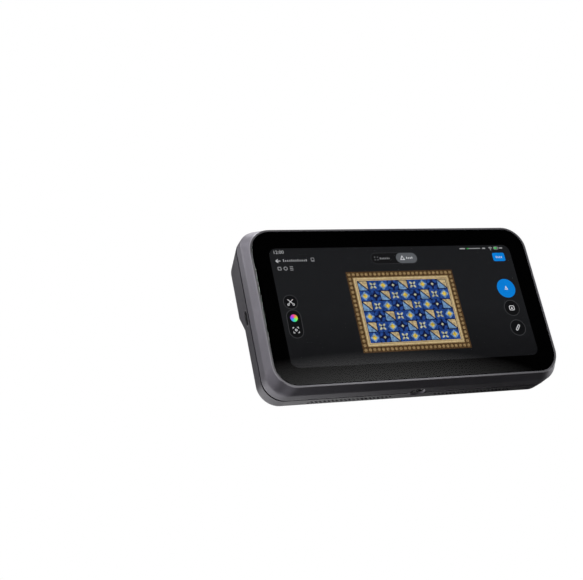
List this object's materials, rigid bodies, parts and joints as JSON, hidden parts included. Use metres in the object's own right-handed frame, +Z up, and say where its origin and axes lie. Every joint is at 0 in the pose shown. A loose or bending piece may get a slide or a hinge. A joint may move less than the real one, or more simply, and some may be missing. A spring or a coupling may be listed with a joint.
{
  "type": "handheld three-d scanner",
  "caption": "Handheld three-d scanner: a touch screen in a bevelled frame, and behind it a grip under a raised head with a dark camera window.",
  "frame": {"origin": "middle of the flat lower side, on the surface that the scanner stands on", "axes": "+X along its length, to the right seen from the screen; +Y from the screen to the camera window; +Z up"},
  "size_m": [0.173, 0.028, 0.0935],
  "materials": {
    "body_metal": "space-grey anodised finish with a fine speckle",
    "key_metal": "space-grey anodised keys",
    "cover_glass": "clear polished cover glass",
    "black_print": "black ink on film",
    "display": "dark display panel",
    "seal": "black foam seal",
    "window_glass": "dark tinted pane",
    "inner_alloy": "bare machined alloy",
    "copper": "bare copper sheet",
    "screw_steel": "plated steel",
    "insert_metal": "bright threaded insert",
    "camera_grey": "grey anodised barrels",
    "lens_glass": "coated dark lens",
    "inner_plastic": "moulded black plastic",
    "pale_bezel": "pale grey bezel",
    "lamp_resin": "smoked lamp resin",
    "phosphor": "yellow phosphor",
    "circuit_board": "green solder mask",
    "chip_black": "black moulded chips",
    "battery_wrap": "dark shrink wrap",
    "flex_film": "amber flexible film"
  },
  "bodies": {
    "body": {"front_frame": "body_metal", "rear_housing": "body_metal", "screen_glass": "cover_glass", "border_mask": "black_print", "window_mask": "black_print", "display_panel": "display", "screen_gasket": "seal", "window_gasket": "seal", "thermal_pad": "seal", "optical_window": "window_glass", "mid_plate": "inner_alloy", "optics_bench": "inner_alloy", "left_lamp_block": "inner_alloy", "right_lamp_block": "inner_alloy", "fill_lamp_block": "inner_alloy", "sensor_block": "inner_alloy", "fin_stack": "inner_alloy", "heat_spreader": "copper", "bench_standoffs": "inner_alloy", "board_posts": "inner_alloy", "short_screws": "screw_steel", "housing_screws": "screw_steel", "fan_shaft": "screw_steel", "usb_socket": "screw_steel", "tripod_insert": "insert_metal", "left_stereo_camera": "camera_grey", "right_stereo_camera": "camera_grey", "left_wide_camera": "camera_grey", "right_wide_camera": "camera_grey", "texture_camera": "camera_grey", "left_stereo_lens": "lens_glass", "right_stereo_lens": "lens_glass", "left_wide_lens": "lens_glass", "right_wide_lens": "lens_glass", "texture_lens": "lens_glass", "projector_lens": "lens_glass", "projector_body": "inner_plastic", "projector_bezel": "pale_bezel", "range_sensors": "camera_grey", "left_infrared_lamps": "lamp_resin", "right_infrared_lamps": "lamp_resin", "fill_lamps": "lamp_resin", "fill_lamp_dies": "phosphor", "main_board": "circuit_board", "usb_board": "circuit_board", "key_board": "circuit_board", "processor": "chip_black", "memory_chips": "chip_black", "key_switches": "chip_black", "fan_housing": "inner_plastic", "fan_cover": "inner_plastic", "battery_tray": "inner_plastic", "speaker": "inner_plastic", "battery_pack": "battery_wrap", "battery_lead": "flex_film", "display_flex": "flex_film", "camera_flex": "flex_film"},
    "power_key": {"power_key": "key_metal"},
    "scan_key": {"scan_key": "key_metal"},
    "fan": {"fan_rotor": "inner_plastic"}
  },
  "joints": [
    {"name": "power_key_slide", "type": "slide", "parent": "body", "child": "power_key", "axis": [-1, 0, 0], "range_m": [0, 0.0005], "stiffness_N_per_m": 4000},
    {"name": "scan_key_slide", "type": "slide", "parent": "body", "child": "scan_key", "axis": [-1, 0, 0], "range_m": [0, 0.0005], "stiffness_N_per_m": 4000},
    {"name": "fan_spin", "type": "hinge", "parent": "body", "child": "fan", "pos_m": [0.04, 0.0023, 0.0241], "axis": [0, 1, 0], "continuous": true}
  ]
}
